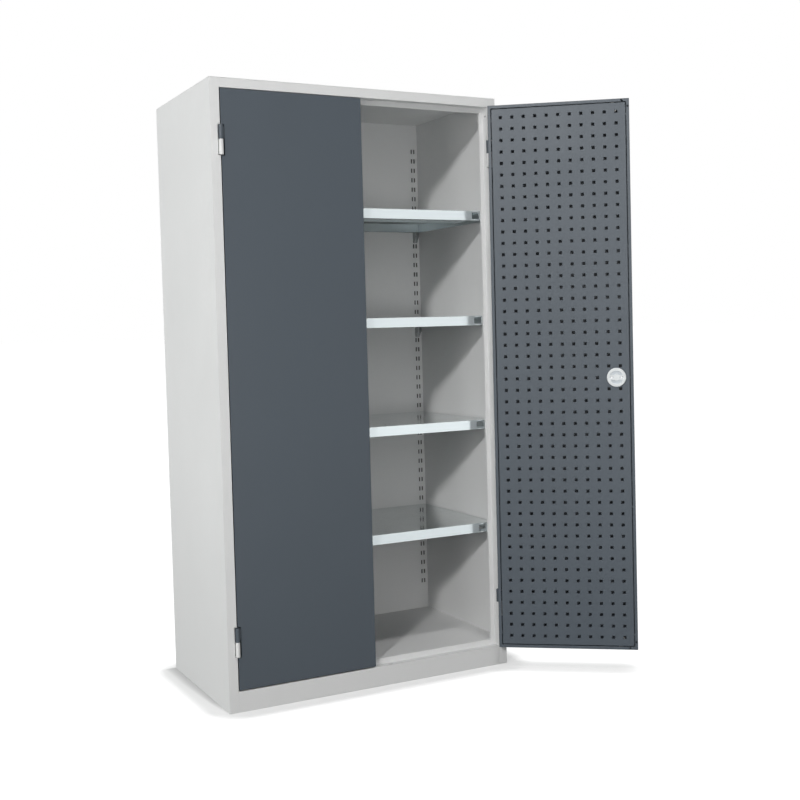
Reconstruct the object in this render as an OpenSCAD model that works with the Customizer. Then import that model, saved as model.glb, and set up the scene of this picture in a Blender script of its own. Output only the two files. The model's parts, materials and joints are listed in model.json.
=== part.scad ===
// Two-door sheet-steel tool cabinet, built as a welded and hung assembly.
// Units are millimetres. +Z is up, the doors face -Y and +X is to the right of
// somebody who stands in front. The origin lies on the floor, under the centre
// of the cabinet body. The left door is shut and the right door stands open.

/* [Cabinet body] */
// width over the side panels
cab_w = 1000; // [940:10:1100]
// depth from the front face to the rear face
cab_d = 570; // [480:10:660]
// height from the floor to the top of the roof
cab_h = 1930; // [1900:10:2000]
// sheet thickness of the sides, roof, rails, floor and plinth
body_t = 1.5; // [1.2:0.1:2]
// sheet thickness of the back panel
back_t = 1.2; // [0.8:0.1:1.5]
// width of the front face of each door post
post_w = 30; // [26:1:36]
// height of the front face of the top rail
header_h = 30; // [24:1:36]
// height of the plinth face below the doors
plinth_h = 64; // [56:1:80]
// depth of the rebate that the doors sit in
reveal_d = 29; // [28.6:0.1:34]
// width of the door stop at the posts
stop_w = 14; // [10:1:17]
// height of the door stop below the top rail
stop_top_h = 17; // [12:1:22]
// height of the cabinet floor above the plinth ledge
floor_rise = 19; // [15:1:26]
// depth of the closed tube behind the door stops
stop_box_d = 8; // [6:1:12]
// height of the downturned edges of the floor
floor_flange_h = 25; // [20:1:30]
// distance from the rear face to the inside of the back panel
back_inset = 12; // [10:0.1:16]
// width of the rear edge of each side panel
rear_flange_w = 38; // [34:1:44]
// width of the lap that carries the back panel
rear_lap_w = 16; // [12:1:20]
// width of the flat legs of the base frame
base_leg_w = 30; // [24:1:40]
// height of the upright legs of the base frame
base_leg_h = 25; // [20:1:35]
// sheet thickness of the base frame
base_t = 2; // [1.5:0.1:3]
// diameter of the small vent hole in each door rebate
vent_hole_d = 6.5; // [3:0.5:8]
// distance of the vent hole below the top rail
vent_hole_drop = 29; // [20:1:40]

/* [Shelf slots] */
// height of the lowest pair of slots
slot_z0 = 188; // [170:1:210]
// height from one pair of slots to the next
slot_pitch = 35.7; // [34:0.1:37]
// width of one slot
slot_w = 5.5; // [5:0.1:6.5]
// height of one slot
slot_h = 16; // [15:0.5:18]
// distance between the two slots of a pair
slot_pair = 11; // [9:0.5:13]
// distance from a pair's centre to the side panel's outer face
slot_inset = 20; // [18:1:22]
// free height kept above the highest pair of slots
slot_top_free = 45; // [35:1:70]

/* [Shelves] */
// sheet thickness of a shelf
shelf_t = 1; // [0.8:0.1:1.5]
// height of a shelf's edges
shelf_lip_h = 32; // [28:1:40]
// depth of the fold under the front edge
shelf_lip_d = 20; // [14:1:24]
// height of the turned-up end of that fold
shelf_hem_h = 8; // [5:1:12]
// depth of the fold under the rear edge
shelf_rear_d = 12; // [8:1:16]
// gap from a shelf's end to the side panel
shelf_side_gap = 3.5; // [2:0.5:6]
// gap from a shelf's front edge to the front uprights
shelf_front_gap = 13.5; // [10:0.5:15]
// gap from a shelf's rear edge to the back panel
shelf_rear_gap = 2; // [1.5:0.5:4]
// slot pair that carries the lowest shelf, counted from zero
shelf_first_slot = 7; // [5:1:8]
// slot pairs from one shelf to the next
shelf_slot_step = 10; // [8:1:10]
// width of the opening near each end of the front edge
window_w = 28; // [20:1:34]
// distance from a shelf's end to the outer side of that opening
window_inset = 35; // [28:1:42]
// metal left above and below that opening
window_edge = 4.5; // [3:0.5:7]
// corner radius of that opening
window_r = 4; // [2:0.5:5]
// depth of the stiffening channel under a shelf
stiff_d = 76; // [50:1:100]
// distance from the front edge to the stiffening channel
stiff_y = 38; // [36:1:60]
// distance from a shelf's end to the end of the channel
stiff_end = 65; // [40:1:90]
// width of the welding edges of the channel
stiff_edge = 15; // [8:1:18]

/* [Shelf clips] */
// width of a clip
clip_w = 16; // [15.5:0.5:19]
// height of a clip
clip_h = 39; // [34:1:44]
// depth of a clip's ledge
clip_d = 22; // [18:1:26]
// sheet thickness of a clip
clip_t = 1.5; // [1.2:0.1:2]
// height from a clip's slot pair to its ledge
clip_rise = 15.4; // [15:0.1:18]
// width of a clip's hook
hook_w = 4; // [3:0.5:4.5]
// height of a hook where it passes the slot
hook_h = 10; // [8:0.5:12]
// length of a hook below its slot
hook_drop = 3; // [2:0.5:5]
// play between a hook and the sheet it hangs on
hook_gap = 0.3; // [0.3:0.05:0.6]

/* [Doors] */
// sheet thickness of the door skins and inner panels
door_t = 1; // [0.8:0.1:1.2]
// overall thickness of a door
door_d = 26; // [24:0.1:27.5]
// gap between a door and its post
door_side_gap = 3; // [2:0.5:5]
// gap between the two doors
door_mid_gap = 3; // [2:0.5:5]
// gap above a door
door_top_gap = 2; // [1.5:0.5:5]
// gap below a door
door_bottom_gap = 4; // [2:0.5:6]
// width of the edge that a door skin turns inwards
flange_w = 10; // [8:0.5:13]
// width of the groove around the inner panel
groove_w = 2.5; // [2:0.5:6]
// distance of the inner panel's face below the skin's edge
panel_recess = 1.5; // [1:0.1:3]
// depth of the inner panel's folded edge
panel_fold_d = 7; // [4:0.5:8]
// side of a square hole
perf_size = 10; // [8:0.5:12]
// distance between square holes
perf_pitch = 38; // [34:1:50]
// least distance from a hole's centre to the panel's edge
perf_edge = 24; // [20:1:40]
// height of a weld tab across the groove
tab_h = 5; // [4:0.5:8]
// distance between weld tabs
tab_pitch = 432; // [300:1:450]
// diameter of the paint drain holes in the turned edges
drain_d = 6; // [4:0.5:7]
// distance of the drain holes from the door's corner
drain_inset = 26; // [20:1:35]
// width of the strip on the left door that the right door shuts against
strip_w = 28; // [22:1:34]
// length of that strip past the left door's edge
strip_over = 13; // [9:1:16]
// sheet thickness of that strip
strip_t = 1.5; // [1.2:0.1:1.6]
// opening angle of the left door
left_open = 0; // [0:0.5:180]
// opening angle of the right door
right_open = 142.5; // [0:0.5:180]

/* [Hinges] */
// diameter of a hinge barrel
barrel_d = 14; // [12:0.5:16]
// distance of the hinge axis in front of the cabinet's face
axis_out = 4; // [3.5:0.5:6]
// height of the half on the door
hinge_up_h = 43; // [36:1:48]
// height of the half on the post
hinge_low_h = 46; // [36:1:50]
// height of the joint of the lower hinges
hinge_low_z = 219; // [200:1:240]
// distance of the joint of the upper hinges below the roof
hinge_top_drop = 185; // [160:1:220]
// diameter of a hinge pin
pin_d = 8; // [6:0.5:9]
// length of a pin on each side of the joint
pin_half = 24; // [18:1:30]
// width of the cut-out in the post
post_notch = 7.5; // [7.5:0.5:10]
// width of the cut-out in the door's edge
door_notch = 10; // [9:0.5:13]
// thickness of a hinge leaf
leaf_t = 3; // [2:0.5:4]
// length of a hinge leaf
leaf_l = 18; // [15:1:24]
// distance of a leaf's edge inside the ends of its barrel
leaf_inset = 4; // [2:0.5:8]

/* [Lock and rods] */
// distance from the right door's free edge to the lock axis
lock_inset = 56; // [50:1:64]
// diameter of the inner rosette
rosette_d = 63; // [56:1:70]
// thickness of the inner rosette
rosette_t = 6; // [5:0.5:8]
// width of the rosette's rim
rosette_rim = 9.5; // [7:0.5:12]
// height of the bar across the rosette
rosette_bar = 16; // [12:1:20]
// diameter of the round swelling in the middle of that bar
rosette_hub = 22; // [21:0.5:24]
// depth of the hollows above and below the bar
rosette_dip = 3; // [2:0.5:4]
// distance from the lock axis to each rosette screw
screw_x = 16; // [15:0.5:18]
// diameter of a rosette screw
screw_d = 4; // [3:0.5:4]
// diameter of a rosette screw's head
screw_head_d = 7; // [6:0.5:7.5]
// diameter of the outer rosette
outer_d = 63; // [56:1:70]
// thickness of the outer rosette
outer_t = 8; // [6:0.5:10]
// length of the handle
grip_l = 96; // [80:1:120]
// width of the handle
grip_w = 26; // [24:1:30]
// thickness of the handle
grip_t = 28; // [24:1:32]
// diameter of the handle's neck
neck_d = 20; // [18:0.5:22]
// diameter of the spindle
spindle_d = 9; // [8:0.5:11]
// diameter of the cylinder plug
plug_d = 16; // [14:0.5:18]
// length of the cylinder plug
plug_l = 15; // [12:0.5:16]
// radius of the circle that the cam's pins turn on
cam_r = 13.33; // [12.6:0.01:15]
// diameter of a cam pin
cam_pin_d = 5; // [4:0.5:6]
// thickness of the cam
cam_t = 4; // [3:0.5:4.5]
// width of the lock case
case_w = 64; // [62:1:70]
// height of the lock case
case_h = 100; // [98:1:120]
// depth of the lock case
case_d = 20.5; // [20:0.1:21]
// sheet thickness of the lock case
case_t = 1.5; // [1.2:0.1:2]
// width of a rod
rod_w = 14; // [12:0.5:16]
// thickness of a rod
rod_t = 5; // [4:0.5:6]
// distance from the door's front face to the middle of a rod
rod_y = 12; // [11.5:0.1:12.5]
// distance of a drawn-back rod's tip inside the door's edge
rod_tip_in = 2; // [1:0.5:4]
// height of a rod guide
guide_h = 16; // [12:1:24]
// wall of a rod guide
guide_wall = 2; // [1.5:0.1:2.5]

/* [Clearances] */
// gap between a sliding rod and its guides
rod_gap = 0.4; // [0.3:0.05:0.8]
// gap around a rod in its hole in the body
bolt_gap = 1.5; // [1:0.1:2.5]
// radial gap of a turning shaft in its bore
run_gap = 0.05; // [0.03:0.01:0.1]
// gap between a cam pin and the sides of its slot
cam_gap = 0.6; // [0.5:0.05:0.8]
// gap between parts that pass each other
pass_gap = 0.5; // [0.4:0.05:1]

/* [Hidden] */
$fn = 48;
eps = 1;
x_out = cab_w / 2;
x_in = x_out - body_t;
y_f = -cab_d / 2;
y_r = cab_d / 2;
x_post = x_out - post_w;
y_stop = y_f + reveal_d;
x_stop = x_post - stop_w;
y_box = y_stop + stop_box_d;
y_up = y_box + body_t;
y_back = y_r - back_inset;
z_head = cab_h - header_h;
z_roof = cab_h - body_t;
z_floor = plinth_h + floor_rise;
x_slot = x_out - slot_inset;
slot_n = floor((z_head - slot_top_free - slot_z0) / slot_pitch) + 1;
shelf_x = x_in - shelf_side_gap;
shelf_y0 = y_up + shelf_front_gap;
shelf_y1 = y_back - shelf_rear_gap;
hinge_top_z = cab_h - hinge_top_drop;
door_z0 = plinth_h + door_bottom_gap;
door_z1 = z_head - door_top_gap;
door_x0 = door_mid_gap / 2;
door_x1 = x_post - door_side_gap;
door_h = door_z1 - door_z0;
door_mid_z = (door_z0 + door_z1) / 2;
y_door = y_f + door_d;
panel_x0 = door_x0 + flange_w + groove_w;
panel_x1 = door_x1 - flange_w - groove_w;
panel_z0 = door_z0 + flange_w + groove_w;
panel_z1 = door_z1 - flange_w - groove_w;
y_panel = y_door - panel_recess;
perf_nx = floor((panel_x1 - panel_x0 - 2 * perf_edge) / perf_pitch) + 1;
perf_nz = floor((panel_z1 - panel_z0 - 2 * perf_edge) / perf_pitch) + 1;
perf_x0 = (panel_x0 + panel_x1 - (perf_nx - 1) * perf_pitch) / 2;
perf_z0 = (panel_z0 + panel_z1 - (perf_nz - 1) * perf_pitch) / 2;
tab_n = floor((panel_z1 - panel_z0 - 2 * tab_h) / tab_pitch / 2);
x_axis = x_post - body_t / 3;
y_axis = y_f - axis_out;
barrel_r = barrel_d / 2;
lock_x = door_x0 + lock_inset;
lock_z = door_mid_z;
y_rod = y_f + rod_y;
y_skin = y_f + door_t;
y_case = y_skin + case_d;
y_cam = y_rod + rod_t / 2 + pass_gap;
cam_turn = 90;
cam_start = -45;
rod_travel = 2 * cam_r * sin(cam_turn / 2);
square_w = (spindle_d - 2 * run_gap) * 0.7;
y_outer = y_f - outer_t;
y_grip = y_outer - pass_gap;
y_face = y_grip - grip_t;

// right-hand normal of a direction in the plane
function right_of(v) = [v[1], -v[0]] / norm(v);

// outline of a folded sheet whose outer side follows the path, with square bends
function sheet_outline(p, t) =
    let (n = len(p), s = [for (i = [0:n - 2]) right_of(p[i + 1] - p[i])])
    concat(p, [for (i = [n - 1:-1:0])
        p[i] + t * (i == 0 ? s[0] : i == n - 1 ? s[n - 2] : s[i - 1] + s[i])]);

// folded sheet with its section in plan, standing from z0 to z1
module upright_fold(p, t, z0, z1) {
    translate([0, 0, z0])
    linear_extrude(z1 - z0)
    polygon(sheet_outline(p, t));
}

// folded sheet with its section in y and z, lying from x0 to x1
module cross_fold(p, t, x0, x1) {
    translate([x0, 0, 0])
    rotate([90, 0, 90])
    linear_extrude(x1 - x0)
    polygon(sheet_outline(p, t));
}

// block between two corners
module block(a, b) {
    translate(a)
    cube(b - a);
}

// cylinder along Y from y0 to y1
module bar_y(x, z, y0, y1, r) {
    translate([x, y1, z])
    rotate([90, 0, 0])
    cylinder(r = r, h = y1 - y0);
}

module open_left() {
    translate([-x_axis, y_axis, 0])
    rotate([0, 0, -left_open])
    translate([x_axis, -y_axis, 0])
    children();
}

module open_right() {
    translate([x_axis, y_axis, 0])
    rotate([0, 0, right_open])
    translate([-x_axis, -y_axis, 0])
    children();
}

// cut-outs for both hinges of one side
module hinge_cuts(x0, x1, y1) {
    for (z = [hinge_low_z, hinge_top_z])
    block([x0, y_f - eps, z - hinge_low_h - 2], [x1, y1, z + hinge_up_h + 2]);
}

// side panel, door post and rear edge folded from one sheet
module side_body() {
    difference() {
        upright_fold([
            [x_out - rear_flange_w - rear_lap_w, y_back + back_t + body_t],
            [x_out - rear_flange_w, y_back + back_t + body_t],
            [x_out - rear_flange_w, y_r],
            [x_out, y_r],
            [x_out, y_f],
            [x_post, y_f],
            [x_post, y_stop],
            [x_stop, y_stop],
            [x_stop, y_box]], body_t, 0, z_roof);
        hinge_cuts(x_post - eps, x_post + post_notch, y_f + body_t + leaf_t + pass_gap);
        translate([x_post - eps, (y_f + y_stop) / 2, z_head - vent_hole_drop])
        rotate([0, 90, 0])
        cylinder(d = vent_hole_d, h = body_t + 2 * eps);
    }
}

module side_right() {
    color("gainsboro") side_body();
}

module side_left() {
    color("gainsboro") mirror([1, 0, 0]) side_body();
}

// all slot pairs of one column, cut from y0 to y1
module slot_column(y0, y1) {
    for (i = [0:slot_n - 1], s = [-1, 1])
    block([x_slot + s * slot_pair / 2 - slot_w / 2, y0, slot_z0 + i * slot_pitch - slot_h / 2],
        [x_slot + s * slot_pair / 2 + slot_w / 2, y1, slot_z0 + i * slot_pitch + slot_h / 2]);
}

module back_panel() {
    color("lightgray")
    difference() {
        block([-x_in, y_back, 0], [x_in, y_back + back_t, z_roof]);
        for (m = [0, 1]) mirror([m, 0, 0]) slot_column(y_back - eps, y_back + back_t + eps);
    }
}

module roof_panel() {
    color("whitesmoke") {
        block([-x_out, y_f, z_roof], [x_out, y_r, cab_h]);
        block([rear_flange_w - x_out, y_r - body_t, z_head], [x_out - rear_flange_w, y_r, z_roof]);
    }
}

module header_rail() {
    color("silver")
    difference() {
        union() {
            cross_fold([
                [y_stop, z_head],
                [y_f, z_head],
                [y_f, z_roof],
                [y_f + 3 * body_t + leaf_t + flange_w, z_roof]], body_t, -x_post, x_post);
            cross_fold([
                [y_box, z_roof],
                [y_box, z_head - stop_top_h],
                [y_stop, z_head - stop_top_h],
                [y_stop, z_head + body_t]], body_t, -x_stop, x_stop);
        }
        bolt_hole(z_head - eps, z_head + body_t + eps);
    }
}

// hole in the body for a rod's tip
module bolt_hole(z0, z1) {
    block([lock_x - rod_w / 2 - bolt_gap, y_rod - rod_t / 2 - bolt_gap, z0],
        [lock_x + rod_w / 2 + bolt_gap, y_rod + rod_t / 2 + bolt_gap, z1]);
}

module floor_panel() {
    color("darkgray")
    difference() {
        union() {
            cross_fold([
                [y_stop, z_floor - floor_flange_h],
                [y_stop, z_floor],
                [y_back, z_floor],
                [y_back, z_floor - floor_flange_h]], body_t, -x_in, x_in);
            for (s = [-1, 1])
            translate([s * (x_in - body_t / 2) - body_t / 2, y_stop, z_floor - floor_flange_h])
            cube([body_t, y_back - y_stop, floor_flange_h - body_t / 2]);
        }
        for (s = [0, 1]) mirror([s, 0, 0])
        block([x_stop, y_stop - eps, 0], [x_out, y_box, z_floor + eps]);
    }
}

module plinth_front() {
    color("silver")
    difference() {
        cross_fold([
            [y_f + base_leg_h, 0],
            [y_f, 0],
            [y_f, plinth_h],
            [y_stop, plinth_h]], body_t, -x_post, x_post);
        bolt_hole(plinth_h - body_t - eps, plinth_h + eps);
    }
}

module base_frame() {
    color("dimgray")
    difference() {
        block([-x_in, y_box, 0], [x_in, y_back, base_leg_h]);
        block([base_t - x_in, y_box + base_t, base_t],
            [x_in - base_t, y_back - base_t, base_leg_h + eps]);
        block([base_leg_w - x_in, y_box + base_leg_w, -eps],
            [x_in - base_leg_w, y_back - base_leg_w, eps + base_t]);
    }
}

// slotted channel that closes the post's tube and carries the shelf fronts
module upright_body() {
    difference() {
        union() {
            block([x_stop, y_box, z_floor], [x_in, y_up, z_head]);
            block([x_in - body_t, y_box - 2 * stop_box_d, z_floor], [x_in, y_up, z_head]);
        }
        slot_column(y_box - eps, y_up + eps);
    }
}

module upright_right() {
    color("lightgray") upright_body();
}

module upright_left() {
    color("lightgray") mirror([1, 0, 0]) upright_body();
}

// height of the top of shelf k, where shelf 1 is the highest
function shelf_z(k) =
    slot_z0 + (shelf_first_slot + (4 - k) * shelf_slot_step) * slot_pitch + clip_rise + shelf_lip_h;

// rounded opening in the front edge near a shelf's end
module shelf_window() {
    w = window_w;
    h = shelf_lip_h - 2 * window_edge;
    r = window_r;
    translate([shelf_x - window_inset - w, shelf_y0 + shelf_t + eps, window_edge - shelf_lip_h])
    rotate([90, 0, 0])
    linear_extrude(shelf_t + 2 * eps) {
        translate([r, 0]) square([w - 2 * r, h]);
        translate([0, r]) square([w, h - 2 * r]);
        for (i = [r, w - r], j = [r, h - r]) translate([i, j]) circle(r = r);
    }
}

module shelf_body(k) {
    translate([0, 0, shelf_z(k)])
    difference() {
        union() {
            cross_fold([
                [shelf_y0 + shelf_lip_d, shelf_hem_h - shelf_lip_h],
                [shelf_y0 + shelf_lip_d, -shelf_lip_h],
                [shelf_y0, -shelf_lip_h],
                [shelf_y0, 0],
                [shelf_y1, 0],
                [shelf_y1, -shelf_lip_h],
                [shelf_y1 - shelf_rear_d, -shelf_lip_h]], shelf_t, -shelf_x, shelf_x);
            for (s = [0, 1]) mirror([s, 0, 0])
            block([shelf_x - shelf_t, shelf_y0, -shelf_lip_h], [shelf_x, shelf_y1, 0]);
            shelf_stiffener();
        }
        for (s = [0, 1]) mirror([s, 0, 0]) shelf_window();
    }
}

// channel with two welding edges, under the front half of a shelf
module shelf_stiffener() {
    y0 = shelf_y0 + stiff_y;
    y1 = y0 + stiff_d;
    x1 = shelf_x - stiff_end;
    block([-x1, y0, -shelf_lip_h], [x1, y1, shelf_t - shelf_lip_h]);
    block([-x1, y0, -shelf_lip_h], [x1, y0 + shelf_t, -shelf_t / 2]);
    block([-x1, y1 - shelf_t, -shelf_lip_h], [x1, y1, -shelf_t / 2]);
    block([-x1, y0 - stiff_edge, -2 * shelf_t], [x1, y0 + shelf_t, -shelf_t / 2]);
    block([-x1, y1 - shelf_t, -2 * shelf_t], [x1, y1 + stiff_edge, -shelf_t / 2]);
}

module shelf_1() {
    color("lightsteelblue") shelf_body(1);
}

module shelf_2() {
    color("lightsteelblue") shelf_body(2);
}

module shelf_3() {
    color("lightsteelblue") shelf_body(3);
}

module shelf_4() {
    color("lightsteelblue") shelf_body(4);
}

// clip that hangs in one slot pair of a sheet of thickness t, facing +Y
module clip(t) {
    block([-clip_w / 2, 0, -clip_h], [clip_w / 2, clip_t, 0]);
    block([-clip_w / 2, 0, -clip_t], [clip_w / 2, clip_d, 0]);
    for (s = [0, 1])
    translate([s * (clip_w - clip_t) - clip_w / 2, 0, 0])
    rotate([90, 0, 90])
    linear_extrude(clip_t)
    polygon([[0, -clip_h], [clip_t + 1, -clip_h], [clip_d, -clip_h / 3], [clip_d, 0], [0, 0]]);
    for (s = [-1, 1]) {
        x = s * slot_pair / 2;
        z1 = hook_h / 2 - clip_rise;
        y1 = -t - hook_gap;
        block([x - hook_w / 2, y1 - clip_t, z1 - hook_h], [x + hook_w / 2, clip_t, z1]);
        block([x - hook_w / 2, y1 - clip_t, -clip_rise - slot_h / 2 - hook_drop],
            [x + hook_w / 2, y1, z1]);
    }
}

module shelf_clips(k) {
    for (s = [-1, 1])
    translate([s * x_slot, 0, shelf_z(k) - shelf_lip_h]) {
        translate([0, y_up, 0]) clip(body_t);
        translate([0, y_back, 0]) rotate([0, 0, 180]) clip(back_t);
    }
}

module shelf_1_clips() {
    color("slategray") shelf_clips(1);
}

module shelf_2_clips() {
    color("slategray") shelf_clips(2);
}

module shelf_3_clips() {
    color("slategray") shelf_clips(3);
}

module shelf_4_clips() {
    color("slategray") shelf_clips(4);
}

// both lower hinge halves of the right post, each a bored barrel with a leaf
module post_hinge_body() {
    for (z = [hinge_low_z, hinge_top_z])
    difference() {
        union() {
            translate([x_axis, y_axis, z - hinge_low_h])
            cylinder(r = barrel_r, h = hinge_low_h - pass_gap / 2);
            block([x_axis, y_f + body_t, z - hinge_low_h + leaf_inset],
                [x_axis + leaf_l, y_f + body_t + leaf_t, z - leaf_inset]);
        }
        translate([x_axis, y_axis, z - pin_half])
        cylinder(d = pin_d, h = pin_half + eps);
    }
}

module post_hinges_right() {
    color("gainsboro") post_hinge_body();
}

module post_hinges_left() {
    color("gainsboro") mirror([1, 0, 0]) post_hinge_body();
}

module hinge_pins() {
    color("goldenrod")
    for (s = [-1, 1], z = [hinge_low_z, hinge_top_z])
    translate([s * x_axis, y_axis, z - pin_half]) {
        cylinder(d = pin_d, h = 2 * pin_half - 2);
        translate([0, 0, 2 * pin_half - 2]) cylinder(d1 = pin_d, d2 = pin_d - 3, h = 2);
    }
}

// both upper hinge halves of the right door
module door_hinge_body() {
    for (z = [hinge_low_z, hinge_top_z])
    difference() {
        union() {
            translate([x_axis, y_axis, z + pass_gap / 2])
            cylinder(r = barrel_r, h = hinge_up_h - pass_gap / 2);
            block([x_axis - leaf_l, y_skin, z + leaf_inset],
                [x_axis, y_skin + leaf_t, z + hinge_up_h - leaf_inset]);
        }
        translate([x_axis, y_axis, z - eps])
        cylinder(d = pin_d + 2 * run_gap, h = pin_half + 2 + eps);
    }
}

module left_door_hinges() {
    color("dimgray") open_left() mirror([1, 0, 0]) door_hinge_body();
}

module right_door_hinges() {
    color("dimgray") open_right() door_hinge_body();
}

// shallow steel pan with edges turned in, drawn for the right door
module skin_body() {
    difference() {
        block([door_x0, y_f, door_z0], [door_x1, y_door, door_z1]);
        block([door_x0 + door_t, y_skin, door_z0 + door_t],
            [door_x1 - door_t, y_door - door_t, door_z1 - door_t]);
        block([door_x0 + flange_w, y_skin, door_z0 + flange_w],
            [door_x1 - flange_w, y_door + eps, door_z1 - flange_w]);
        hinge_cuts(door_x1 - door_notch, door_x1 + eps, y_axis + barrel_r + door_notch / 2);
        for (z = [door_z0 + drain_inset, door_z1 - drain_inset])
        bar_y(door_x0 + flange_w / 2 + door_t / 2, z, y_door - door_t - eps, y_door + eps, drain_d / 2);
        bar_y(door_x0 + drain_inset, door_z0 + flange_w / 2 + door_t / 2,
            y_door - door_t - eps, y_door + eps, drain_d / 2);
    }
}

// square holes of an inner panel, without those near the point c
module perf_holes(c, r) {
    for (i = [0:perf_nx - 1], j = [0:perf_nz - 1]) {
        p = [perf_x0 + i * perf_pitch, perf_z0 + j * perf_pitch];
        if (norm(p - c) > r) translate(p) square(perf_size, center = true);
    }
}

// perforated pan that closes the back of a door, drawn for the right door
module panel_body(c, r) {
    translate([0, y_panel, 0])
    rotate([90, 0, 0])
    linear_extrude(door_t)
    difference() {
        translate([panel_x0, panel_z0]) square([panel_x1 - panel_x0, panel_z1 - panel_z0]);
        perf_holes(c, r);
        if (r > 0) translate(c) circle(d = rosette_d - 2 * rosette_rim);
    }
    difference() {
        block([panel_x0, y_panel - panel_fold_d, panel_z0], [panel_x1, y_panel - door_t / 2, panel_z1]);
        block([panel_x0 + door_t, y_panel - panel_fold_d - eps, panel_z0 + door_t],
            [panel_x1 - door_t, y_panel, panel_z1 - door_t]);
    }
    for (k = [-tab_n:tab_n]) {
        z = door_mid_z + k * tab_pitch;
        weld_tab([panel_x0 - groove_w - 2, z], [panel_x0 + 2, z]);
        weld_tab([panel_x1 - 2, z], [panel_x1 + groove_w + 2, z]);
    }
}

module weld_tab(a, b) {
    block([a[0], y_panel - door_t, a[1] - tab_h / 2], [b[0], y_door - door_t, b[1] + tab_h / 2]);
}

module left_door_skin() {
    color("slategray") open_left() mirror([1, 0, 0]) skin_body();
}

module left_door_panel() {
    color("lightslategray") open_left() mirror([1, 0, 0]) panel_body([0, 0], 0);
}

// strip behind the left door's free edge, stepped back where the right door shuts on it
module left_door_strip() {
    z0 = z_floor + 3;
    z1 = z_head - stop_top_h - 3;
    step = (reveal_d - door_d - strip_t) / 2;
    color("gainsboro")
    open_left()
    translate([0, 0, z0])
    linear_extrude(z1 - z0)
    polygon([
        [strip_over - door_x0 - strip_w, y_door],
        [-door_x0, y_door],
        [-door_x0, y_door + step],
        [strip_over - door_x0, y_door + step],
        [strip_over - door_x0, y_door + step + strip_t],
        [-door_x0 - strip_t, y_door + step + strip_t],
        [-door_x0 - strip_t, y_door + strip_t],
        [strip_over - door_x0 - strip_w, y_door + strip_t]]);
}

module right_door_skin() {
    color("slategray")
    open_right()
    difference() {
        skin_body();
        bar_y(lock_x, lock_z, y_f - eps, y_skin + eps, neck_d / 2 + run_gap);
        for (z = [door_z0 + door_t / 2, door_z1 - door_t / 2])
        block([lock_x - rod_w / 2 - rod_gap, y_rod - rod_t / 2 - rod_gap, z - door_t],
            [lock_x + rod_w / 2 + rod_gap, y_rod + rod_t / 2 + rod_gap, z + door_t]);
        translate([door_x0 + drain_inset - 3, y_door + eps, door_z1 - flange_w - eps])
        rotate([90, 0, 0])
        linear_extrude(door_t + 2 * eps)
        polygon([[0, 0], [8, flange_w + 2 * eps], [5, flange_w + 2 * eps], [-6, 0]]);
    }
}

module right_door_panel() {
    color("lightslategray")
    open_right()
    panel_body([lock_x, lock_z], rosette_d / 2);
}

// flat steel box, open above and below, that holds the cam and the rods' feet
module lock_case() {
    color("darkgray")
    open_right()
    difference() {
        block([lock_x - case_w / 2, y_skin, lock_z - case_h / 2],
            [lock_x + case_w / 2, y_case, lock_z + case_h / 2]);
        block([lock_x - case_w / 2 + case_t, y_skin + case_t, lock_z - case_h / 2 - eps],
            [lock_x + case_w / 2 - case_t, y_case - case_t, lock_z + case_h / 2 + eps]);
        bar_y(lock_x, lock_z, y_skin - eps, y_skin + case_t + eps, spindle_d / 2 + run_gap);
        bar_y(lock_x, lock_z, y_case - case_t - eps, y_case + eps, square_w / 2 + run_gap);
        for (s = [-1, 1])
        bar_y(lock_x + s * screw_x, lock_z, y_case - case_t - eps, y_case + eps, screw_d / 2);
    }
}

// round cover with two hollows, a bar across and two screw pockets
module lock_rosette() {
    y1 = y_panel + rosette_t;
    color("white")
    open_right()
    difference() {
        union() {
            bar_y(lock_x, lock_z, y_panel, y1 - 1.5, rosette_d / 2);
            translate([lock_x, y1 - 1.5, lock_z])
            rotate([-90, 0, 0])
            cylinder(d1 = rosette_d, d2 = rosette_d - 3, h = 1.5);
        }
        difference() {
            bar_y(lock_x, lock_z, y1 - rosette_dip, y1 + eps, rosette_d / 2 - rosette_rim);
            block([lock_x - rosette_d / 2, y1 - rosette_dip - eps, lock_z - rosette_bar / 2],
                [lock_x + rosette_d / 2, y1 + 2 * eps, lock_z + rosette_bar / 2]);
            bar_y(lock_x, lock_z, y1 - rosette_dip - eps, y1 + 2 * eps, rosette_hub / 2);
        }
        for (s = [-1, 1]) {
            translate([lock_x + s * screw_x, y1 + eps, lock_z])
            rotate([90, 0, 0])
            linear_extrude(rosette_dip + eps) {
                square([screw_head_d - 1, screw_head_d], center = true);
                for (i = [-1, 1]) translate([i * (screw_head_d / 2 - 0.5), 0]) circle(d = screw_head_d);
            }
            bar_y(lock_x + s * screw_x, lock_z, y_panel - eps, y1, screw_d / 2);
        }
    }
}

module rosette_screws() {
    y1 = y_panel + rosette_t - rosette_dip;
    color("silver")
    open_right()
    for (s = [-1, 1])
    difference() {
        union() {
            bar_y(lock_x + s * screw_x, lock_z, y1, y1 + 2, screw_head_d / 2);
            bar_y(lock_x + s * screw_x, lock_z, y_case - case_t, y1 + eps, screw_d / 2);
        }
        block([lock_x + s * screw_x - screw_head_d, y1 + 1, lock_z - 0.5],
            [lock_x + s * screw_x + screw_head_d, y1 + 3, lock_z + 0.5]);
    }
}

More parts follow.
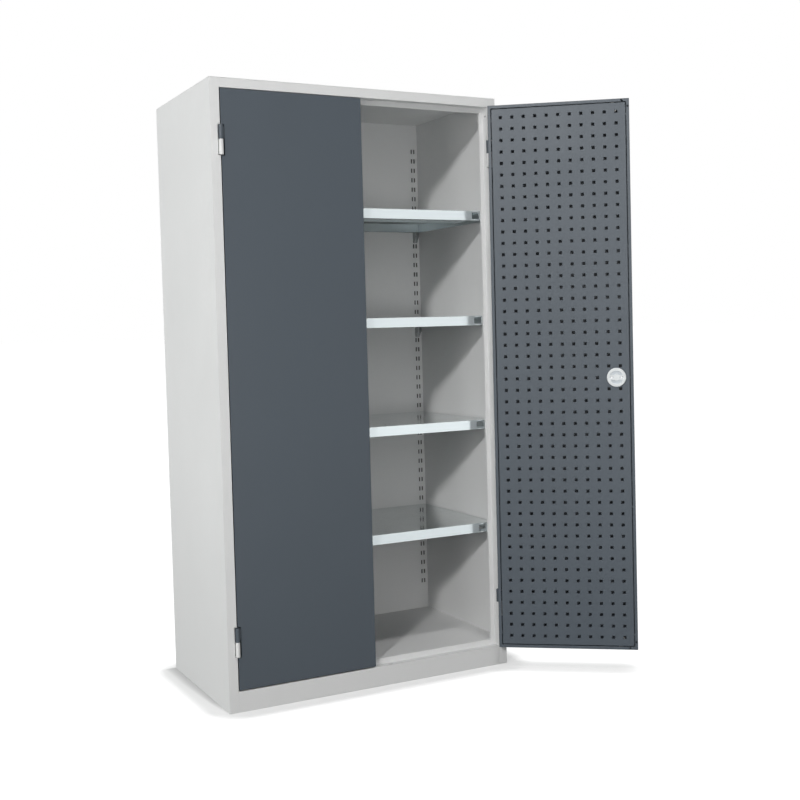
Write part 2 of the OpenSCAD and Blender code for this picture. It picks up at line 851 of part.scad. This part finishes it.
module rod_guides() {
    z_far = door_h / 2 - guide_h / 2 - flange_w - groove_w - 10;
    color("black")
    open_right()
    for (d = [-z_far, -z_far / 2, z_far / 2, z_far])
    difference() {
        block([lock_x - rod_w / 2 - rod_gap - 3 * guide_wall, y_skin, lock_z + d - guide_h / 2],
            [lock_x + rod_w / 2 + rod_gap + 3 * guide_wall, y_rod + rod_t / 2 + rod_gap + guide_wall,
            lock_z + d + guide_h / 2]);
        block([lock_x - rod_w / 2 - rod_gap, y_rod - rod_t / 2 - rod_gap, lock_z + d - guide_h],
            [lock_x + rod_w / 2 + rod_gap, y_rod + rod_t / 2 + rod_gap, lock_z + d + guide_h]);
    }
}

module outer_rosette() {
    color("black")
    open_right()
    difference() {
        union() {
            bar_y(lock_x, lock_z, y_outer + 2, y_f, outer_d / 2);
            translate([lock_x, y_outer, lock_z])
            rotate([-90, 0, 0])
            cylinder(d1 = outer_d - 6, d2 = outer_d, h = 2);
        }
        bar_y(lock_x, lock_z, y_outer - eps, y_f + eps, neck_d / 2 + run_gap);
    }
}

// outline of the handle, lying level when the rods are drawn back
module grip_shape(inset) {
    w = grip_w - 2 * inset;
    square([grip_l - grip_w, w], center = true);
    for (s = [-1, 1]) translate([s * (grip_l - grip_w) / 2, 0]) circle(d = w);
    circle(d = grip_w + 8 - 2 * inset);
}

module handle_grip() {
    color("black")
    open_right()
    difference() {
        union() {
            translate([lock_x, y_grip, lock_z])
            rotate([90, 0, 0])
            linear_extrude(grip_t - 3)
            grip_shape(0);
            translate([lock_x, y_grip - grip_t + 4, lock_z])
            rotate([90, 0, 0])
            linear_extrude(4)
            grip_shape(2);
            bar_y(lock_x, lock_z, y_grip - eps, y_f + door_t / 2, neck_d / 2);
        }
        bar_y(lock_x, lock_z, y_face - eps, y_face + plug_l + pass_gap, plug_d / 2 + run_gap);
        bar_y(lock_x, lock_z, y_grip - 5, y_f + eps + door_t, spindle_d / 2);
    }
}

// spindle with a round journal at each side of a square for the cam
module handle_spindle() {
    color("silver")
    open_right() {
        bar_y(lock_x, lock_z, y_grip - 5, y_cam - pass_gap / 2, spindle_d / 2);
        block([lock_x - square_w / 2, y_cam - pass_gap, lock_z - square_w / 2],
            [lock_x + square_w / 2, y_cam + cam_t, lock_z + square_w / 2]);
        bar_y(lock_x, lock_z, y_cam + cam_t - eps, y_case + pass_gap, square_w / 2);
    }
}

// disc with two opposite pins, one for each rod
module lock_cam() {
    color("goldenrod")
    open_right()
    translate([lock_x, 0, lock_z]) {
        difference() {
            bar_y(0, 0, y_cam, y_cam + cam_t, cam_r + cam_pin_d / 2 + 1);
            block([-square_w / 2, y_cam - eps, -square_w / 2],
                [square_w / 2, y_cam + cam_t + eps, square_w / 2]);
        }
        for (s = [0, 180])
        bar_y(cam_r * cos(cam_start + s), cam_r * sin(cam_start + s),
            y_rod - rod_t / 2 - pass_gap, y_cam + cam_t / 2, cam_pin_d / 2);
    }
}

module lock_plug() {
    color("silver")
    open_right()
    difference() {
        bar_y(lock_x, lock_z, y_face, y_face + plug_l, plug_d / 2);
        block([lock_x - 4, y_face - eps, lock_z - 0.8], [lock_x + 4, y_face + plug_l - 3, lock_z + 0.8]);
    }
}

// rod with an offset foot that takes the cam's pin, drawn for the upper rod
module rod_body() {
    foot_x = spindle_d / 2 + 1;
    foot_w = rod_w;
    bridge_z = spindle_d / 2 + cam_r - 1;
    pin_x = cam_r * cos(cam_start);
    pin_z = cam_r * sin(cam_start);
    tip_z = door_h / 2 - rod_tip_in;
    y0 = y_rod - rod_t / 2;
    y1 = y_rod + rod_t / 2;
    difference() {
        union() {
            block([-rod_w / 2, y0, bridge_z], [rod_w / 2, y1, tip_z]);
            block([-rod_w / 2, y0, bridge_z], [foot_x + foot_w, y1, bridge_z + 12]);
            block([foot_x, y0, pin_z - cam_pin_d / 2 - cam_gap - 3], [foot_x + foot_w, y1, bridge_z + 12]);
        }
        block([pin_x - cam_pin_d / 2 - cam_gap, y0 - eps, pin_z - cam_pin_d / 2 - cam_gap],
            [cam_r + cam_pin_d / 2 + cam_gap, y1 + eps, pin_z + cam_pin_d / 2 + cam_gap]);
        for (s = [0, 1]) mirror([s, 0, 0])
        translate([rod_w / 2 - 2, y0 - eps, tip_z])
        rotate([0, 45, 0])
        cube([4, rod_t + 2 * eps, 4]);
    }
}

module upper_rod() {
    color("gray") open_right() translate([lock_x, 0, lock_z]) rod_body();
}

module lower_rod() {
    color("gray") open_right() translate([lock_x, 0, lock_z]) rotate([0, 180, 0]) rod_body();
}

side_left();
side_right();
back_panel();
roof_panel();
header_rail();
floor_panel();
plinth_front();
base_frame();
upright_left();
upright_right();
shelf_1();
shelf_2();
shelf_3();
shelf_4();
shelf_1_clips();
shelf_2_clips();
shelf_3_clips();
shelf_4_clips();
post_hinges_left();
post_hinges_right();
hinge_pins();
left_door_skin();
left_door_panel();
left_door_hinges();
left_door_strip();
right_door_skin();
right_door_panel();
right_door_hinges();
lock_case();
lock_rosette();
rosette_screws();
rod_guides();
outer_rosette();
handle_grip();
handle_spindle();
lock_cam();
lock_plug();
upper_rod();
lower_rod();
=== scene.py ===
import json
import math

import bpy
from mathutils import Matrix, Vector

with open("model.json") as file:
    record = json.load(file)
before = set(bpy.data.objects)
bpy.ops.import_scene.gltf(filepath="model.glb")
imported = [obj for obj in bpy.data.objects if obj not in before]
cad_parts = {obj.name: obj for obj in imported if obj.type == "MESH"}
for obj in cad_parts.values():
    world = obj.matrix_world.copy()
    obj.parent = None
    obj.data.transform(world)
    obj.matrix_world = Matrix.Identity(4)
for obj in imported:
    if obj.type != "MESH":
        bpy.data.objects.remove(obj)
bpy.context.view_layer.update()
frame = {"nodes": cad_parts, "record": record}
nodes = frame["nodes"]


# ---------------------------------------------------------------- measures, in metres

def span(name):
    """Lowest and highest corner of a node's box."""
    points = [vertex.co for vertex in nodes[name].data.vertices]
    low = Vector([min(point[axis] for point in points) for axis in range(3)])
    high = Vector([max(point[axis] for point in points) for axis in range(3)])
    return low, high


# The roof covers the whole body, so its box gives the body's outline.
BODY_LOW, BODY_HIGH = span("roof_panel")
ROOF_SHEET = BODY_HIGH.z - span("back_panel")[1].z
SHELF_FRONT = span("shelf_1")[0].y

# Closed tubes in the body's corners, counted inwards from the side and from the rear or front.
REAR_TUBE = ((0.0014, 0.0368), (0.0012, 0.0106))
FRONT_TUBE = ((0.0014, 0.0284), (0.0014, 0.0365))
# Stiffening channel below each shelf, counted from the shelf's front edge.
CHANNEL = (0.0375, 0.1145)


# ---------------------------------------------------------------- node helpers

class Tree:
    """The node tree of a material or a world, with short calls for the nodes used here."""

    def __init__(self, owner, output):
        owner.use_nodes = True
        self.owner = owner
        self.t = owner.node_tree
        self.t.nodes.clear()
        self.out = self.new(output)
        self.texture = self.new("ShaderNodeTexCoord").outputs
        self.coord = self.texture["Object"]

    def new(self, kind, **values):
        n = self.t.nodes.new(kind)
        for key, value in values.items():
            setattr(n, key, value)
        return n

    def put(self, socket, value):
        if isinstance(value, bpy.types.NodeSocket):
            self.t.links.new(value, socket)
        else:
            socket.default_value = value

    def axes(self, vector):
        """The x, y and z of a vector."""
        n = self.new("ShaderNodeSeparateXYZ")
        self.put(n.inputs[0], vector)
        return n.outputs[0], n.outputs[1], n.outputs[2]

    def scaled(self, sx, sy, sz):
        """Object coordinates, stretched so that a pattern runs along one axis."""
        n = self.new("ShaderNodeMapping")
        self.put(n.inputs["Vector"], self.coord)
        self.put(n.inputs["Scale"], (sx, sy, sz))
        return n.outputs["Vector"]

    def noise(self, scale, detail, rough, vector=None, distortion=0.0):
        n = self.new("ShaderNodeTexNoise")
        self.put(n.inputs["Vector"], vector or self.coord)
        self.put(n.inputs["Scale"], scale)
        self.put(n.inputs["Detail"], detail)
        self.put(n.inputs["Roughness"], rough)
        self.put(n.inputs["Distortion"], distortion)
        return n.outputs["Fac"]

    def cells(self, scale):
        """Two numbers from 0 to 1 that change at random from cell to cell."""
        cell = self.new("ShaderNodeTexVoronoi")
        self.put(cell.inputs["Vector"], self.coord)
        self.put(cell.inputs["Scale"], scale)
        n = self.new("ShaderNodeSeparateColor")
        self.put(n.inputs[0], cell.outputs["Color"])
        return n.outputs[0], n.outputs[1]

    def math(self, op, a, b=0.0):
        n = self.new("ShaderNodeMath", operation=op)
        self.put(n.inputs[0], a)
        self.put(n.inputs[1], b)
        return n.outputs[0]

    def times(self, a, b):
        return self.math("MULTIPLY", a, b)

    def plus(self, a, b):
        return self.math("ADD", a, b)

    def length(self, *parts):
        """Root of the sum of the squares."""
        total = self.times(parts[0], parts[0])
        for part in parts[1:]:
            total = self.plus(total, self.times(part, part))
        return self.math("SQRT", total)

    def inside(self, value, low, high):
        """1 where a value lies between two limits, else 0."""
        return self.times(self.math("GREATER_THAN", value, low), self.math("LESS_THAN", value, high))

    def dot(self, a, b):
        n = self.new("ShaderNodeVectorMath", operation="DOT_PRODUCT")
        self.put(n.inputs[0], a)
        self.put(n.inputs[1], b)
        return n.outputs["Value"]

    def remap(self, value, source, target=(0.0, 1.0), curve="LINEAR"):
        """Ramp that leads the source range to the target range and is level beyond both ends."""
        n = self.new("ShaderNodeMapRange", interpolation_type=curve)
        self.put(n.inputs["Value"], value)
        for key, level in zip(("From Min", "From Max", "To Min", "To Max"), source + target):
            n.inputs[key].default_value = level
        return n.outputs["Result"]

    def mix(self, fac, a, b):
        n = self.new("ShaderNodeMix", data_type="RGBA")
        self.put(n.inputs["Factor"], fac)
        self.put(n.inputs["A"], a)
        self.put(n.inputs["B"], b)
        return n.outputs["Result"]

    def edges(self, radius):
        """Rounded normal, and a mask that is 1 where the surface bends."""
        bevel = self.new("ShaderNodeBevel", samples=4)
        self.put(bevel.inputs["Radius"], radius)
        flat = self.new("ShaderNodeNewGeometry").outputs["Normal"]
        mask = self.remap(self.dot(bevel.outputs["Normal"], flat), (0.995, 0.86))
        return bevel.outputs["Normal"], mask

    def bump(self, height, strength, distance, normal):
        n = self.new("ShaderNodeBump")
        self.put(n.inputs["Height"], height)
        self.put(n.inputs["Strength"], strength)
        self.put(n.inputs["Distance"], distance)
        self.put(n.inputs["Normal"], normal)
        return n.outputs["Normal"]

    def surface(self, shader):
        """Ends the tree in a shader node and gives the finished material or world."""
        self.t.links.new(shader.outputs[0], self.out.inputs["Surface"])
        return self.owner

    def principled(self, **values):
        n = self.new("ShaderNodeBsdfPrincipled")
        for key, value in values.items():
            self.put(n.inputs[key.replace("_", " ")], value)
        return self.surface(n)


def material_tree(name):
    return Tree(bpy.data.materials.new(name), "ShaderNodeOutputMaterial")


def rgb(r, g, b):
    return (r, g, b, 1.0)


def shade(colour, factor):
    return rgb(*[channel * factor for channel in colour])


def lighter(colour, factor, lift):
    return rgb(*[min(1.0, channel * factor + lift) for channel in colour])


# ---------------------------------------------------------------- materials

LIGHT_GREY = (0.79, 0.795, 0.795)
BLUE_GREY = (0.060, 0.076, 0.094)
NEAR_BLACK = (0.008, 0.009, 0.010)
# Painted shade for the inside of the closed corner tubes.
TUBE_PAINTED_SHADE = (0.10, 0.105, 0.105)
ZINC = (0.68, 0.715, 0.715)
# Painted reflection tone for upright zinc faces and the channel.
ZINC_UPRIGHT_REFLECTION = (0.82, 0.90, 0.93)
# Painted shade for zinc undersides.
ZINC_UNDERSIDE_SHADE = (0.13, 0.15, 0.145)
# Painted highlight along zinc bends.
ZINC_BEND_HIGHLIGHT = (0.86, 0.89, 0.91)
CLIP_ZINC = (0.50, 0.52, 0.53)
# Painted reflection tone for the clips' upright faces.
CLIP_UPRIGHT_REFLECTION = (0.46, 0.48, 0.49)
STEEL = (0.60, 0.61, 0.62)
STEEL_STAIN = (0.55, 0.54, 0.50)
# Painted highlight along steel bends.
STEEL_BEND_HIGHLIGHT = (0.82, 0.83, 0.84)
ROD_STEEL = (0.20, 0.20, 0.20)
NICKEL = (0.66, 0.64, 0.60)
WHITE_PLASTIC = (0.80, 0.83, 0.84)
# Painted shade for the sunk parts of the lock rosette.
HOLLOW_PAINTED_SHADE = (0.72, 0.75, 0.79)
BLACK_PLASTIC = (0.022, 0.022, 0.024)


def painted_tube_shade(m, tone):
    """Painted shade inside the closed corner tubes, seen through slots and holes."""
    x, y, z = m.axes(m.coord)
    from_side = m.math("SUBTRACT", BODY_HIGH.x, m.math("ABSOLUTE", x))
    from_rear = m.math("SUBTRACT", BODY_HIGH.y, y)
    from_front = m.math("SUBTRACT", y, BODY_LOW.y)
    rear = m.times(m.inside(from_side, *REAR_TUBE[0]), m.inside(from_rear, *REAR_TUBE[1]))
    front = m.times(m.inside(from_side, *FRONT_TUBE[0]), m.inside(from_front, *FRONT_TUBE[1]))
    below_roof = m.math("LESS_THAN", z, BODY_HIGH.z - ROOF_SHEET / 2)
    return m.mix(m.times(m.math("MAXIMUM", rear, front), below_roof), tone, rgb(*TUBE_PAINTED_SHADE))


def powder(name, base, rough, edge_wear_and_highlight, grain=0.12, spec=0.5, body=False):
    """Powder coat: fine orange peel, cloudy tone, lighter chips on the bends that are partly wear and partly
    painted highlight, and faint rubbed marks.

    On the body it is a little darker towards the floor, and the corner tubes get painted shade inside.
    """
    m = material_tree(name)
    normal, bend = m.edges(0.0022)
    cloud = m.noise(2.2, 4.0, 0.55)
    mottle = m.noise(38.0, 3.0, 0.6)
    speck = m.noise(900.0, 2.0, 0.6)
    rub = m.noise(5.0, 5.0, 0.62, m.scaled(1.0, 1.0, 0.22), 0.6)
    tone = m.mix(m.remap(cloud, (0.3, 0.7)), shade(base, 0.955), shade(base, 1.035))
    tone = m.mix(m.remap(mottle, (0.35, 0.65), (0.0, 0.5)), tone, shade(base, 0.985))
    tone = m.mix(m.remap(speck, (0.35, 0.68), (0.0, 0.35)), tone, shade(base, 1.10))
    # Lighter chips on the bends: partly edge wear, partly painted highlight.
    chips_and_highlight = m.times(bend, m.remap(m.noise(160.0, 4.0, 0.7), (0.42, 0.66)))
    tone = m.mix(m.times(chips_and_highlight, edge_wear_and_highlight), tone, lighter(base, 1.25, 0.05))
    if body:
        height = m.axes(m.coord)[2]
        tone = m.mix(m.remap(height, (0.0, 0.75), (0.8, 0.0)), tone, shade(base, 0.90))
        # Painted shade inside the closed corner tubes.
        tone = painted_tube_shade(m, tone)
    roughness = m.remap(rub, (0.3, 0.7), (rough - 0.05, rough + 0.07))
    peel = m.plus(m.times(m.noise(520.0, 2.0, 0.5), 0.7), m.times(speck, 0.3))
    waves = m.noise(3.4, 1.0, 0.4)
    normal = m.bump(waves, 0.20, 0.004, normal)
    normal = m.bump(peel, grain, 0.0006, normal)
    return m.principled(Base_Color=tone, Roughness=roughness, Normal=normal, Specular_IOR_Level=spec)


def zinc(name, base, rough, upright_reflection):
    """Zinc-coated sheet: faint spangle, rolling streaks and smudges.

    Upright faces get a brighter, bluer tone as painted reflection, and mirror less. Undersides carry painted
    shade, dull and dark, except the channel, which gets the upright faces' painted reflection tone.
    """
    m = material_tree(name)
    up = m.axes(m.texture["Normal"])[2]
    depth = m.axes(m.coord)[1]
    upright = m.remap(m.math("ABSOLUTE", up), (0.3, 0.7), (1.0, 0.0))
    below = m.remap(up, (-0.7, -0.3), (1.0, 0.0))
    channel = m.times(below, m.inside(depth, SHELF_FRONT + CHANNEL[0], SHELF_FRONT + CHANNEL[1]))
    normal, bend = m.edges(0.0011)
    warp = m.noise(30.0, 2.0, 0.5)
    spangle, sheen = m.cells(95.0)
    streak = m.noise(1.0, 4.0, 0.6, m.scaled(3.0, 420.0, 420.0))
    smudge = m.noise(6.5, 5.0, 0.65, distortion=1.2)
    tone = m.mix(spangle, shade(base, 0.93), shade(base, 1.05))
    tone = m.mix(m.remap(streak, (0.35, 0.65), (0.0, 0.45)), tone, shade(base, 0.93))
    tone = m.mix(m.remap(smudge, (0.45, 0.75), (0.0, 0.30)), tone, shade(base, 0.80))
    # Painted reflection: upright faces get a brighter, bluer tone.
    tone = m.mix(m.times(upright, 0.85), tone, rgb(*upright_reflection))
    # Painted shade: undersides get a dark tone.
    tone = m.mix(below, tone, rgb(*ZINC_UNDERSIDE_SHADE))
    # Painted reflection: the channel's underside gets the upright faces' tone.
    tone = m.mix(channel, tone, rgb(*upright_reflection))
    # Painted highlight along the bends.
    tone = m.mix(m.times(bend, 0.5), tone, rgb(*ZINC_BEND_HIGHLIGHT))
    roughness = m.plus(m.remap(smudge, (0.3, 0.75), (rough - 0.02, rough + 0.07)),
                       m.remap(sheen, (0.0, 1.0), (-0.01, 0.02)))
    roughness = m.plus(roughness, m.times(upright, 0.06))
    roughness = m.plus(roughness, m.times(below, 0.30))
    normal = m.bump(warp, 0.03, 0.001, normal)
    normal = m.bump(streak, 0.03, 0.0002, normal)
    metal = m.remap(upright, (0.0, 1.0), (1.0, 0.60))
    return m.principled(Base_Color=tone, Metallic=metal, Roughness=roughness, Normal=normal)


def bright_steel(name, base, rough):
    """Turned or stamped steel with a thin bright plating, a little stained, with a painted highlight on its
    bends.
    """
    m = material_tree(name)
    normal, bend = m.edges(0.0006)
    fine = m.noise(700.0, 3.0, 0.6)
    stain = m.noise(60.0, 4.0, 0.6)
    tone = m.mix(m.remap(stain, (0.35, 0.7), (0.0, 0.6)), shade(base, 1.04), shade(STEEL_STAIN, 0.9))
    # Painted highlight along the bends.
    tone = m.mix(m.times(bend, 0.4), tone, rgb(*STEEL_BEND_HIGHLIGHT))
    roughness = m.remap(fine, (0.3, 0.7), (rough - 0.06, rough + 0.10))
    normal = m.bump(fine, 0.08, 0.0002, normal)
    return m.principled(Base_Color=tone, Metallic=1.0, Roughness=roughness, Normal=normal)


def plastic(name, base, rough, hollow=None):
    """Moulded plastic: fine grain, softened edges with a painted highlight, and a slight change of sheen.

    Where hollow gives the direction into a face and its place along it, what is sunk below gets painted
    shade: darker and a little bluer.
    """
    m = material_tree(name)
    normal, bend = m.edges(0.0010)
    grains = m.noise(1500.0, 2.0, 0.5)
    cloud = m.noise(45.0, 3.0, 0.55)
    tone = m.mix(m.remap(cloud, (0.3, 0.7)), shade(base, 0.95), shade(base, 1.04))
    if hollow:
        direction, face = hollow
        # Painted shade in the sunk parts.
        sunk = m.remap(m.dot(m.coord, direction), (face + 0.0008, face + 0.0024), (0.0, 0.85))
        tone = m.mix(sunk, tone, rgb(*[part * tint for part, tint in zip(base, HOLLOW_PAINTED_SHADE)]))
    # Painted highlight on the softened edges.
    tone = m.mix(m.times(bend, 0.35), tone, lighter(base, 1.15, 0.03))
    roughness = m.remap(cloud, (0.3, 0.7), (rough - 0.05, rough + 0.06))
    normal = m.bump(grains, 0.12, 0.0002, normal)
    return m.principled(Base_Color=tone, Roughness=roughness, Normal=normal)


def rosette_hollow():
    """Direction into the door from the lock rosette's face, and the face's place along it."""
    joints = {joint["name"]: joint for joint in frame["record"]["behaviour"]["joints"]}
    inwards = Vector(joints["handle_turn"]["axis"])
    face = min(inwards.dot(vertex.co) for vertex in nodes["lock_rosette"].data.vertices)
    return tuple(inwards), face


SLOT_LOOKS = {
    "body_paint": powder("body_paint", LIGHT_GREY, rough=0.57, edge_wear_and_highlight=0.45, grain=0.10, body=True),
    "door_paint": powder("door_paint", BLUE_GREY, rough=0.42, edge_wear_and_highlight=0.30),
    "zinc_sheet": zinc("zinc_sheet", ZINC, 0.07, ZINC_UPRIGHT_REFLECTION),
    "bright_steel": bright_steel("bright_steel", STEEL, 0.30),
    "light_plastic": plastic("rosette_plastic", WHITE_PLASTIC, 0.30, rosette_hollow()),
    "dark_plastic": plastic("black_plastic", BLACK_PLASTIC, 0.40),
    "nickel": bright_steel("nickel", NICKEL, 0.18),
}
case_paint = powder("lock_case_paint", NEAR_BLACK, rough=0.60, edge_wear_and_highlight=0.04, spec=0.12)
clip_zinc = zinc("zinc_clip", CLIP_ZINC, 0.34, CLIP_UPRIGHT_REFLECTION)
rod_steel = bright_steel("rod_steel", ROD_STEEL, 0.45)
NODE_LOOKS = {"lock_case": case_paint, "upper_rod": rod_steel, "lower_rod": rod_steel}

for subpart in frame["record"]["subparts"]:
    name = subpart["node"]
    look = NODE_LOOKS.get(name, SLOT_LOOKS[subpart["material_slot"]])
    if name.endswith("_clips"):
        look = clip_zinc
    nodes[name].data.materials.clear()
    nodes[name].data.materials.append(look)


# ---------------------------------------------------------------- stage

FLOOR_HALF = 150.0
FLOOR_Z = -0.0004
FLOOR_GREY = (0.36, 0.36, 0.36)
# Floor as the camera sees it: in the open, and where something stands close above it.
OPEN_FLOOR = 0.97
COVERED_FLOOR = 0.50
COVER_HEIGHT = 0.10
# Floor as the camera sees it right at the body's foot: in front of the body, and beside it.
FOOT_FRONT, FOOT_BESIDE = 0.50, 0.22
# Reach of the shade at the foot. On the left it widens from the front edge towards the rear.
SHADE_RIGHT, SHADE_FRONT, SHADE_REAR = 0.010, 0.070, 0.030
SHADE_LEFT = (0.030, 0.085)
# Floor as it shows in reflections close to the body; it is white from far away.
NEAR_REFLECTION = 0.48

AMBIENT_TINT = (0.94, 1.0, 0.98)
AMBIENT_FRONT = 0.05
AMBIENT_BACK = 0.55

# Name, place, point it looks at, width and height, and its level on a white card at that point.
LAMPS = (
    ("key", (-8.9, -9.2, 6.7), (0.0, -0.3, 1.0), (1.2, 1.2), 0.40),
    ("left_fill", (-6.0, 1.6, 3.0), (-0.5, 0.0, 1.0), (2.6, 2.6), 0.13),
    ("low_left", (-5.5, -2.6, 1.5), (0.0, -0.2, 1.05), (2.4, 1.0), 0.15),
    ("tall_front", (-1.3, -5.2, 1.95), (0.2, 0.0, 1.0), (1.2, 3.0), 0.10),
    ("low_front", (-0.6, -5.2, 0.7), (0.2, 0.0, 0.8), (2.4, 0.8), 0.05),
    ("top_front", (0.4, -4.2, 8.9), (0.2, 0.0, 1.0), (1.6, 0.8), 0.22),
)
LAMP_TINT = (1.0, 0.994, 0.988)


def beyond(m, gap, reach):
    """How far a place lies outside one side of the body, as a share of the shade's reach."""
    return m.math("MAXIMUM", m.math("DIVIDE", gap, reach), 0.0)


def floor_level(m, x, y):
    """What the camera sees of the floor: nearly white, with a soft shade at the foot and below the doors."""
    left = beyond(m, m.math("SUBTRACT", BODY_LOW.x, x), m.remap(y, (BODY_LOW.y, 0.10), SHADE_LEFT))
    right = beyond(m, m.math("SUBTRACT", x, BODY_HIGH.x), SHADE_RIGHT)
    front = beyond(m, m.math("SUBTRACT", BODY_LOW.y, y), SHADE_FRONT)
    rear = beyond(m, m.math("SUBTRACT", y, BODY_HIGH.y), SHADE_REAR)
    near = m.remap(y, (-0.290, -0.15), (FOOT_FRONT, FOOT_BESIDE))
    rise = m.remap(m.length(left, right, front, rear), (0.0, 1.0), curve="SMOOTHSTEP")
    foot = m.plus(near, m.times(m.math("SUBTRACT", OPEN_FLOOR, near), rise))
    cover = m.new("ShaderNodeAmbientOcclusion", samples=12)
    m.put(cover.inputs["Distance"], COVER_HEIGHT)
    below = m.remap(cover.outputs["AO"], (0.82, 0.99), (COVERED_FLOOR, OPEN_FLOOR))
    return m.math("MINIMUM", foot, below)


def floor_material():
    """Floor that glows to the camera and in reflections, and lights the body as a grey floor does."""
    m = material_tree("studio_floor")
    path = m.new("ShaderNodeLightPath").outputs
    x, y = m.axes(m.coord)[:2]
    seen = m.times(path["Is Camera Ray"], floor_level(m, x, y))
    mirrored = m.math("MAXIMUM", path["Is Glossy Ray"], path["Is Transmission Ray"])
    mirrored = m.times(mirrored, m.remap(m.length(x, y), (1.0, 6.5), (NEAR_REFLECTION, 1.0)))
    diffuse = m.new("ShaderNodeBsdfDiffuse")
    m.put(diffuse.inputs["Color"], rgb(*FLOOR_GREY))
    glow = m.new("ShaderNodeEmission")
    m.put(glow.inputs["Color"], rgb(1.0, 1.0, 1.0))
    m.put(glow.inputs["Strength"], m.plus(seen, mirrored))
    both = m.new("ShaderNodeAddShader")
    m.put(both.inputs[0], diffuse.outputs[0])
    m.put(both.inputs[1], glow.outputs[0])
    return m.surface(both)


def make_floor():
    mesh = bpy.data.meshes.new("studio_floor")
    corners = ((-1, -1), (1, -1), (1, 1), (-1, 1))
    mesh.from_pydata([(x * FLOOR_HALF, y * FLOOR_HALF, FLOOR_Z) for x, y in corners], [], [(0, 1, 2, 3)])
    obj = bpy.data.objects.new("studio_floor", mesh)
    bpy.context.scene.collection.objects.link(obj)
    mesh.materials.append(floor_material())


def make_world():
    """White to the camera and in reflections. As light it is dim from the front and stronger from behind."""
    m = Tree(bpy.data.worlds.new("studio"), "ShaderNodeOutputWorld")
    path = m.new("ShaderNodeLightPath").outputs
    seen = m.math("MAXIMUM", path["Is Camera Ray"], path["Is Glossy Ray"])
    seen = m.math("MAXIMUM", seen, path["Is Transmission Ray"])
    white = m.new("ShaderNodeBackground")
    m.put(white.inputs["Color"], rgb(1.0, 1.0, 1.0))
    m.put(white.inputs["Strength"], 1.0)
    ambient = m.new("ShaderNodeBackground")
    m.put(ambient.inputs["Color"], rgb(*AMBIENT_TINT))
    backwards = m.axes(m.texture["Generated"])[1]
    m.put(ambient.inputs["Strength"], m.remap(backwards, (-0.2, 0.2), (AMBIENT_FRONT, AMBIENT_BACK)))
    both = m.new("ShaderNodeMixShader")
    m.put(both.inputs[0], seen)
    m.put(both.inputs[1], ambient.outputs[0])
    m.put(both.inputs[2], white.outputs[0])
    bpy.context.scene.world = m.surface(both)


def make_lamp(name, place, target, size, level):
    place, target = Vector(place), Vector(target)
    data = bpy.data.lights.new(name, "AREA")
    data.shape = "RECTANGLE"
    data.size, data.size_y = size
    data.color = LAMP_TINT
    data.energy = level * math.pi ** 2 * (place - target).length ** 2
    obj = bpy.data.objects.new(name, data)
    bpy.context.scene.collection.objects.link(obj)
    aim = (target - place).to_track_quat("-Z", "Y").to_matrix().to_4x4()
    obj.matrix_world = Matrix.Translation(place) @ aim


make_floor()
make_world()
for row in LAMPS:
    make_lamp(*row)


# ---------------------------------------------------------------- camera

# Place, angles, focal length and centre of the picture, fitted to the body's edges and the door's holes.
EYE = Vector((-1.624975, -3.661913, 1.173908))
YAW, PITCH, ROLL = math.radians(27.9555), math.radians(-2.7088), math.radians(-1.4790)
FOCAL_PX, CENTRE_X_PX, CENTRE_Y_PX, FRAME_PX = 1165.647, 414.529, 380.090, 800.0
SENSOR_MM = 36.0
FAR_CLIP = 400.0


def camera_turn():
    """Rotation of the camera from its yaw off +Y towards +X, its pitch above level and its roll."""
    ahead = Vector((math.sin(YAW) * math.cos(PITCH), math.cos(YAW) * math.cos(PITCH), math.sin(PITCH)))
    level = Vector((math.cos(YAW), -math.sin(YAW), 0.0))
    above = level.cross(ahead)
    right = level * math.cos(ROLL) + above * math.sin(ROLL)
    up = above * math.cos(ROLL) - level * math.sin(ROLL)
    return Matrix((right, up, -ahead)).transposed().to_4x4()


def make_camera():
    data = bpy.data.cameras.new("camera")
    data.sensor_fit = "HORIZONTAL"
    data.sensor_width = SENSOR_MM
    data.lens = SENSOR_MM * FOCAL_PX / FRAME_PX
    data.shift_x = (FRAME_PX / 2 - CENTRE_X_PX) / FRAME_PX
    data.shift_y = (CENTRE_Y_PX - FRAME_PX / 2) / FRAME_PX
    data.clip_end = FAR_CLIP
    camera = bpy.data.objects.new("camera", data)
    bpy.context.scene.collection.objects.link(camera)
    camera.matrix_world = Matrix.Translation(EYE) @ camera_turn()
    bpy.context.scene.camera = camera


make_camera()
bpy.context.scene.view_settings.view_transform = "Standard"
